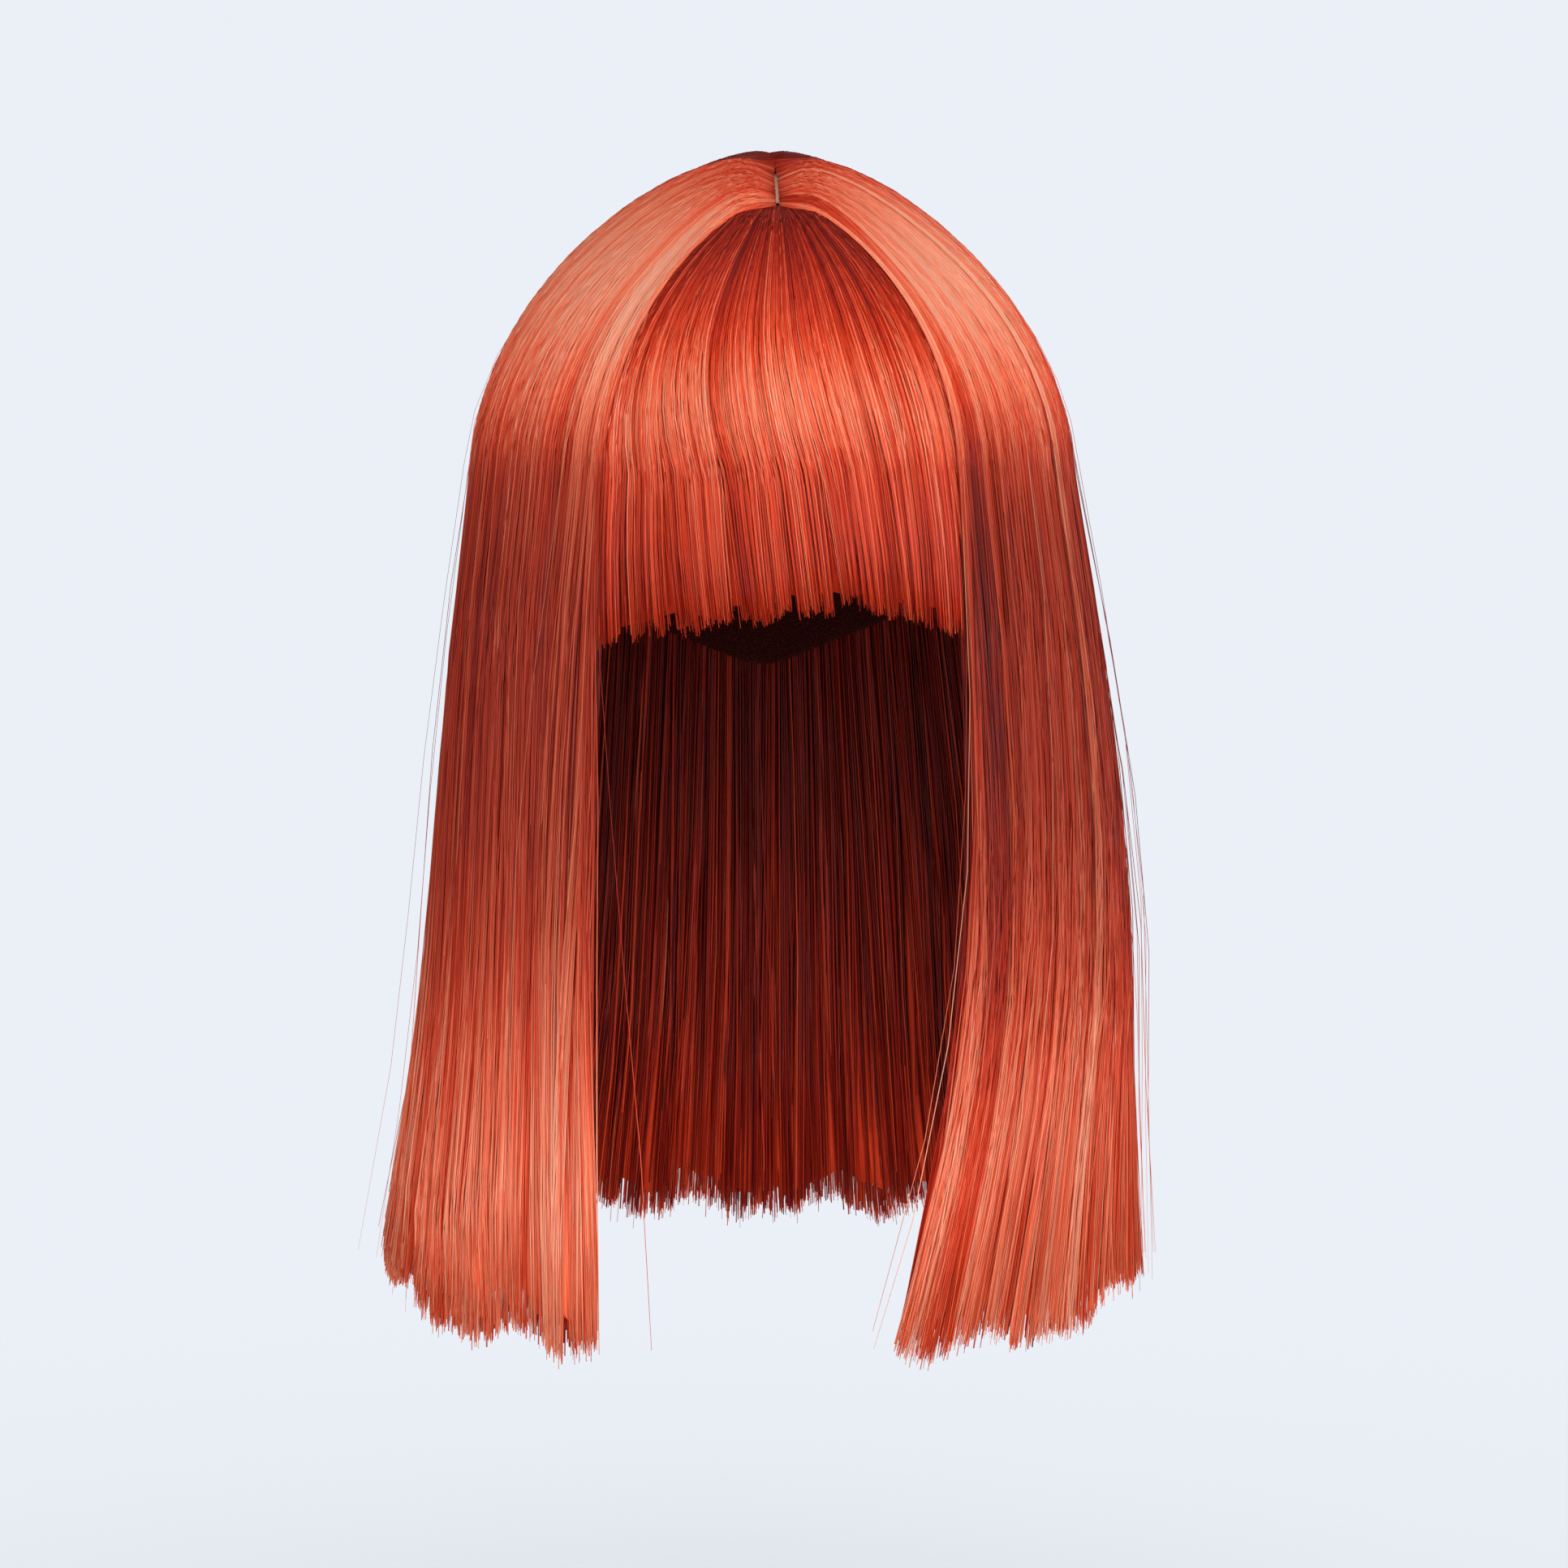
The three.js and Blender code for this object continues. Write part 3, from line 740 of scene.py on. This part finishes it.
def fringe_strands(name, count, generator):
    sunk = generator.uniform(0, 1, count) ** 1.8
    over = generator.uniform(-1.06, 1.06, count)
    bunches = Bunches((-1.06, 1.06), FRINGE_BUNCHES, generator)
    wisps = Bunches((-1.06, 1.06), FRINGE_WISPS, generator)
    chosen = bunches.nearest(over, sunk, FRINGE_HALF_WIDTH, HAIR_THICKNESS / 2)
    wisp = wisps.nearest(over, sunk, FRINGE_HALF_WIDTH, 0)
    starts = np.clip(sunk * generator.uniform(0.0, 0.9, count), 0, 0.7)
    shorter = generator.exponential(3.0, count) + 2 * sunk - 1.0
    length = FRINGE_LENGTH + FRINGE_SIDE_MORE * over**2 - shorter
    length = length + bunches.reach[chosen] + wisps.reach[wisp]
    ends = 1 + length / CURTAIN_LENGTH
    ways = stations_of(starts, ends, FRINGE_DOME_STEPS, FRINGE_FALL_STEPS, generator)
    tipwards = (ways - starts[:, None]) / (ends - starts)[:, None]
    turn = lerp(over[:, None], wisps.turn[wisp][:, None], FRINGE_WISP_PULL * smoothstep(tipwards, 0.7, 1.1))
    pull = bunches.pinch[chosen][:, None] * smoothstep(tipwards, 0.6, 1.1)
    turn = lerp(turn, bunches.turn[chosen][:, None], pull)
    turn = turn + fringe_sweep(over[:, None], tipwards)
    stray = np.where(generator.random(count) < 0.06, 3.0, 1.0)[:, None]
    aside = 0.15 * bunches.aside(chosen, ways * 1.5)
    aside = aside + stray * slow_wave(ways * 1.4, 0.25, (0.6, 1.4), generator)
    depth = fringe_depth(turn, ways, sunk[:, None]) + 0.01 * slow_wave(ways, 1, (0.4, 1.2), generator)
    paths, outs = under_surface(turn, ways, CURTAIN_LENGTH, depth, aside)
    paths[..., 0] += FRINGE_ROOT_SPREAD * over[:, None] * (1 - smoothstep(ways, 0, 0.35))
    radius = 0.2 * generator.uniform(0.6, 1.3, count)
    corners = tube_corners(paths, outs, strand_radii(ways, ends, radius), generator.uniform(0, 6.3, count))
    # Deeper strands get painted shade.
    own = 0.7 * bunches.tone[chosen] + strand_tones_and_glints(count, generator) - 0.15 * sunk
    uneven = lerp(1.6, 1, smoothstep(tipwards, 0.2, 0.6))
    tones = own[:, None] * uneven + painted_fringe_light(tipwards)
    return mesh_of_tubes(name, corners, np.clip(tones, *TONE_RANGE), ways)


hair_pieces["fringe"] = [fringe_strands("fringe_strands", FRINGE_STRANDS, random)]
print("fringe triangles:", triangles_of(hair_pieces["fringe"][0]))

# %% [markdown]
# ## The layer inside each lock
# Light must not show through the middle of a lock. On a real wig the inner fibres do that. Here a
# thin sheet lies in the middle of each lock, between its inner and outer strands: a grid that is
# moulded to the same surface and then given a wall. Each of its points remembers its turn, its way
# and its tone, so the same streaks run over it as over the strands. Its lower end is ragged.

# %% A moulded sheet
SHEET_ACROSS = 16
SHEET_DOWN = 40
SHEET_WALL = 0.4
SHEET_SUNK = 0.4
FRINGE_SHEET_SUNK = 0.62
FRINGE_SHEET_HALF = 0.95
SHEET_SHORT = (5, 12)
FRINGE_SHEET_SHORT = (3.5, 6)
SHEET_START = 0.03
PLACE_NAME = "hair_place"


def deselect_all():
    if bpy.context.object and bpy.context.object.mode != "OBJECT":
        bpy.ops.object.mode_set(mode="OBJECT")
    bpy.ops.object.select_all(action="DESELECT")


def apply_modifier(obj, kind, settings):
    deselect_all()
    obj.select_set(True)
    bpy.context.view_layer.objects.active = obj
    modifier = obj.modifiers.new(kind.title(), kind)
    for name, value in settings.items():
        setattr(modifier, name, value)
    bpy.ops.object.modifier_apply(modifier=modifier.name)


def core_sheet(name, shape, generator):
    """A sheet moulded by shape, which gives places, turns, ways and tones for across and down."""
    deselect_all()
    bpy.ops.mesh.primitive_grid_add(x_subdivisions=SHEET_ACROSS, y_subdivisions=SHEET_DOWN, size=1)
    sheet = bpy.context.object
    sheet.name = name
    sheet.data.name = name
    flat = np.empty(len(sheet.data.vertices) * 3)
    sheet.data.vertices.foreach_get("co", flat)
    across, down = flat.reshape(-1, 3)[:, :2].T + 0.5
    ragged = generator.uniform(0, 1, SHEET_ACROSS + 1)[np.round(across * SHEET_ACROSS).astype(int)]
    places, turn, way, tone = shape(across, 1 - down, ragged)
    sheet.data.vertices.foreach_set("co", (places * MM).ravel())
    kept = sheet.data.attributes.new(PLACE_NAME, "FLOAT_VECTOR", "POINT")
    kept.data.foreach_set("vector", np.stack([turn, way, tone], -1).ravel())
    apply_modifier(sheet, "SOLIDIFY", {"thickness": SHEET_WALL * MM, "offset": 0})
    bpy.ops.object.shade_smooth()
    return sheet


def lock_shape(side, span, tips):
    def shape(across, down, ragged):
        over = across if side > 0 else 1 - across
        round_ = lerp(*span, over)
        short = lerp(*SHEET_SHORT, ragged)
        way = lerp(SHEET_START, 1 + (tips(round_) - short) / CURTAIN_LENGTH, down)
        sweep = FORWARD_SWEEP * smoothstep(way, 0.05, 0.5) * (1 - smoothstep(way, 1, 1.6))
        turn = side * (1 + round_ - sweep * (1 - smoothstep(round_, 0, 0.12)))
        places, outs = under_surface(turn, way, CURTAIN_LENGTH, SHEET_SUNK + 0 * way, 0 * way)
        places = places + outs * lobe_lift(round_, way)[:, None]
        return places, turn, way, painted_lock_light(round_, way)

    return shape


def fringe_shape(across, down, ragged):
    over = FRINGE_SHEET_HALF * (2 * across - 1)
    short = lerp(*FRINGE_SHEET_SHORT, ragged)
    length = FRINGE_LENGTH + FRINGE_SIDE_MORE * over**2 - short
    way = lerp(SHEET_START, 1 + length / CURTAIN_LENGTH, down)
    depth = fringe_depth(over, way, FRINGE_SHEET_SUNK)
    places, _ = under_surface(over + fringe_sweep(over, down), way, CURTAIN_LENGTH, depth, 0 * way)
    return places, over, way, painted_fringe_light(down)


for side_name, side in (("left", -1), ("right", 1)):
    for order, lock in enumerate(LOCKS):
        node = f"{lock['name']}_{side_name}"
        shape = lock_shape(side, lock["span"], tip_lengths(order))
        hair_pieces[node].append(core_sheet(f"{node}_core", shape, random))
hair_pieces["fringe"].append(core_sheet("fringe_core", fringe_shape, random))
print("hair pieces:", sum(len(pieces) for pieces in hair_pieces.values()))

# %% [markdown]
# ## The finish of the hair
# The fibre is a glossy plastic, dyed a coral red. Seen close, it runs from deep red in the gaps to
# salmon where the light lies on it. The tone of a strand picks its colour from a ramp whose dark end
# is painted shade and whose salmon end is painted sheen, and slow noise along the way breaks up the gloss.

# %% Hair fibre
# From painted shade, through the coral dye, to painted salmon sheen.
HAIR_DYE_SHADE_AND_SHEEN = [
    (0.0, (0.10, 0.002, 0.001)),
    (0.25, (0.38, 0.013, 0.003)),
    (0.5, (0.70, 0.052, 0.013)),
    (0.75, (0.88, 0.205, 0.100)),
    (1.0, (0.86, 0.400, 0.265)),
]


ROUGH_ROOT = (0.2, 0.6)
# How much painted shade darkens the hair below the brow, on the locks and on the fringe.
SIDE_SHADE = 0.42
FRINGE_SHADE = 0.1


def painted_side_shade(finish, colour, way, shade):
    """Painted shade: below the brow the hair faces away from the light, so its colour is darkened there."""
    beside = finish.spread(way, 0.78, 1.1) * (1 - finish.spread(way, 1.35, 1.88))
    return finish.mix(1.0, colour, 1 - shade * beside, "MULTIPLY")


def hair_fibre(name, shade):
    finish = Finish(name, {"IOR": 1.5, "Specular IOR Level": 0.2})
    uv_map = finish.add("ShaderNodeUVMap", {"uv_map": UV_MAP}, {})
    parts = finish.add("ShaderNodeSeparateXYZ", {}, {0: finish.out(uv_map)})
    tone = finish.out(parts, 0)
    stretched = finish.add(
        "ShaderNodeVectorMath", {"operation": "MULTIPLY"}, {0: finish.out(uv_map), 1: (90, 6, 0)}
    )
    noise = finish.add(
        "ShaderNodeTexNoise", {"noise_dimensions": "2D"}, {"Vector": finish.out(stretched), "Scale": 1.0}
    )
    streak = finish.out(noise, 0)
    colour = finish.ramp(tone + 0.12 * (streak - 0.5), HAIR_DYE_SHADE_AND_SHEEN)
    way = (finish.out(parts, 1) - UV_MARGIN) * (2 / (1 - 2 * UV_MARGIN))
    colour = painted_side_shade(finish, colour, way, shade)
    finish.feed(finish.surface.inputs["Base Color"], colour)
    rooted = 1 - finish.spread(way, *ROUGH_ROOT)
    finish.feed(finish.surface.inputs["Roughness"], 0.30 + 0.12 * streak + 0.3 * rooted)
    return finish


STREAKS = (700, 7, 0)
SHEET_CONTRAST = 0.5
# The sheet inside a lock is painted a little darker than the strands, as shade.
SHEET_PAINTED_SHADE = 0.07


def hair_inside(name, shade):
    finish = Finish(name, {"Roughness": 0.65, "Specular IOR Level": 0.1})
    place = finish.add("ShaderNodeAttribute", {"attribute_name": PLACE_NAME}, {})
    parts = finish.add("ShaderNodeSeparateXYZ", {}, {0: finish.out(place, "Vector")})
    stretched = finish.add(
        "ShaderNodeVectorMath", {"operation": "MULTIPLY"}, {0: finish.out(place, "Vector"), 1: STREAKS}
    )
    noise = finish.add(
        "ShaderNodeTexNoise",
        {"noise_dimensions": "2D"},
        {"Vector": finish.out(stretched), "Scale": 1.0, "Detail": 3.0},
    )
    streak = finish.out(noise, 0)
    colour = finish.ramp(finish.out(parts, 2) + SHEET_CONTRAST * (streak - 0.5) - SHEET_PAINTED_SHADE, HAIR_DYE_SHADE_AND_SHEEN)
    colour = painted_side_shade(finish, colour, finish.out(parts, 1), shade)
    bump = finish.add("ShaderNodeBump", {}, {"Strength": 0.6, "Distance": 0.0003, "Height": streak})
    finish.feed(finish.surface.inputs["Base Color"], colour)
    finish.feed(finish.surface.inputs["Normal"], finish.out(bump))
    return finish


# The locks and the fringe wear copies of one finish that differ only in how much painted shade lies below the brow.
lock_finishes = (hair_fibre("hair_fibre", SIDE_SHADE), hair_inside("hair_inside", SIDE_SHADE))
fringe_finishes = (hair_fibre("fringe_fibre", FRINGE_SHADE), hair_inside("fringe_inside", FRINGE_SHADE))
for node, pieces in hair_pieces.items():
    fibre, inside = fringe_finishes if node == "fringe" else lock_finishes
    for piece in pieces:
        (inside if piece.name.endswith("_core") else fibre).wear(piece)
        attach(piece, BODY)
        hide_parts(node)
print("hair is dressed")

# %% [markdown]
# ## The cap and the parting strip
# The cap is an elastic net. It hardly shows, but its edge can be seen inside the nape. The strip
# under the parting is a fine net over a skin-like backing, in the wearer's skin tone.

# %% Smooth copies of two solids
def smooth_copy(node, name, levels):
    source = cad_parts[node]
    copy = bpy.data.objects.new(name, source.data.copy())
    bpy.context.scene.collection.objects.link(copy)
    copy.data.materials.clear()
    deselect_all()
    copy.select_set(True)
    bpy.context.view_layer.objects.active = copy
    bpy.ops.object.mode_set(mode="EDIT")
    bpy.ops.mesh.select_all(action="SELECT")
    bpy.ops.mesh.remove_doubles(threshold=0.01 * MM)
    bpy.ops.mesh.tris_convert_to_quads()
    bpy.ops.object.mode_set(mode="OBJECT")
    apply_modifier(copy, "SUBSURF", {"levels": levels, "render_levels": levels})
    bpy.ops.object.shade_smooth()
    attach(copy, BODY)
    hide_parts(node)
    print(name, "faces:", len(copy.data.polygons))
    return copy


def net_finish():
    finish = Finish("cap_net", {"Roughness": 0.9, "Specular IOR Level": 0.1})
    place = finish.out(finish.add("ShaderNodeTexCoord", {}, {}), "Object")
    cells = finish.add(
        "ShaderNodeTexVoronoi", {"feature": "DISTANCE_TO_EDGE"}, {"Vector": place, "Scale": 1100.0}
    )
    thread = 1 - finish.spread(finish.out(cells, "Distance"), 0.05, 0.2)
    colour = finish.mix(thread, (0.015, 0.0015, 0.001), (0.05, 0.005, 0.003))
    bump = finish.add("ShaderNodeBump", {}, {"Strength": 0.6, "Distance": 0.0003, "Height": thread})
    finish.feed(finish.surface.inputs["Base Color"], colour)
    finish.feed(finish.surface.inputs["Normal"], finish.out(bump))
    return finish


def skin_finish():
    finish = Finish("skin_net", {"Roughness": 0.8, "Specular IOR Level": 0.1})
    place = finish.out(finish.add("ShaderNodeTexCoord", {}, {}), "Object")
    cells = finish.add("ShaderNodeTexVoronoi", {}, {"Vector": place, "Scale": 1400.0})
    root = 1 - finish.spread(finish.out(cells, "Distance"), 0.1, 0.35)
    colour = finish.mix(0.5 * root, (0.95, 0.52, 0.38), (0.70, 0.20, 0.11))
    bump = finish.add("ShaderNodeBump", {}, {"Strength": 0.3, "Distance": 0.0002, "Height": root})
    finish.feed(finish.surface.inputs["Base Color"], colour)
    finish.feed(finish.surface.inputs["Normal"], finish.out(bump))
    return finish


cap = smooth_copy("cap", "net_cap", 2)
net_finish().wear(cap)
strip = smooth_copy("parting_strip", "parting_skin", 2)
skin_finish().wear(strip)

# %% [markdown]
# ## The studio
# A pale floor lies well below the tips, and fades into a pale surround. A wide soft box above the
# camera lays the bright band over the fringe, two more light the sides, and a low one lifts the
# lower third of the hair. The band and the brighter tips are also painted light in the hair's tone.

# %% Floor, surround and lights
FLOOR_LEVEL = -0.46
FLOOR_RADIUS = 5
SURROUND = (0.83, 0.87, 0.935)
FLOOR_COLOUR = (0.95, 0.97, 1.0)


def floor_material():
    finish = Finish("studio_floor", {"Base Color": FLOOR_COLOUR + (1,), "Roughness": 0.9})
    place = finish.add("ShaderNodeTexCoord", {}, {})
    distance = finish.add("ShaderNodeVectorMath", {"operation": "LENGTH"}, {0: finish.out(place, "Object")})
    away = finish.spread(finish.out(distance, "Value"), -0.4, 0.7)
    clear = finish.add("ShaderNodeBsdfTransparent", {}, {})
    blend = finish.add("ShaderNodeMixShader", {}, {0: away})
    finish.tree.links.new(finish.surface.outputs[0], blend.inputs[1])
    finish.tree.links.new(clear.outputs[0], blend.inputs[2])
    output = next(node for node in finish.tree.nodes if node.type == "OUTPUT_MATERIAL")
    finish.tree.links.new(blend.outputs[0], output.inputs["Surface"])
    return finish


deselect_all()
bpy.ops.mesh.primitive_circle_add(vertices=96, radius=FLOOR_RADIUS, fill_type="TRIFAN", location=(0, 0, FLOOR_LEVEL))
floor = bpy.context.object
floor.name = "studio_floor"
floor_material().wear(floor)

world = bpy.data.worlds.new("studio")
world.use_nodes = True
bpy.context.scene.world = world
nodes, links = world.node_tree.nodes, world.node_tree.links
nodes.clear()
seen = nodes.new("ShaderNodeBackground")
seen.inputs["Color"].default_value = (*SURROUND, 1)
seen.inputs["Strength"].default_value = 1.0
lighting = nodes.new("ShaderNodeBackground")
lighting.inputs["Color"].default_value = (*SURROUND, 1)
lighting.inputs["Strength"].default_value = 0.28
path = nodes.new("ShaderNodeLightPath")
either = nodes.new("ShaderNodeMixShader")
shown = nodes.new("ShaderNodeOutputWorld")
links.new(path.outputs["Is Camera Ray"], either.inputs[0])
links.new(lighting.outputs[0], either.inputs[1])
links.new(seen.outputs[0], either.inputs[2])
links.new(either.outputs[0], shown.inputs["Surface"])

LIGHTS = [
    dict(name="overhead_box", place=(0, -0.5, 1.05), target=(0, 0, -0.05), size=(1.4, 0.7), power=4),
    dict(name="front_box", place=(0, -1.8, 0.3), target=(0, 0, -0.15), size=(1.5, 1.0), power=14),
    dict(name="left_box", place=(-1.4, -0.6, -0.1), target=(0, 0, -0.2), size=(0.5, 1.2), power=5),
    dict(name="right_box", place=(1.4, -0.6, -0.1), target=(0, 0, -0.2), size=(0.5, 1.2), power=10),
    dict(name="low_bounce", place=(0, -1.3, -0.6), target=(0, 0, -0.28), size=(1.5, 0.4), power=12),
    dict(name="back_box", place=(0.2, 1.3, 0.5), target=(0, 0, -0.15), size=(1.2, 0.8), power=9),
]
for light in LIGHTS:
    bpy.ops.object.light_add(type="AREA")
    lamp = bpy.context.object
    lamp.name = light["name"]
    lamp.data.shape = "RECTANGLE"
    lamp.data.size, lamp.data.size_y = light["size"]
    lamp.data.energy = light["power"]
    look_from(lamp, Vector(light["place"]), Vector(light["target"]))
bpy.context.scene.view_settings.view_transform = "Standard"
print("lights:", len(LIGHTS))

# %% Count the triangles of the hair
print("triangles of the hair:", sum(triangles_of(piece) for pieces in hair_pieces.values() for piece in pieces))
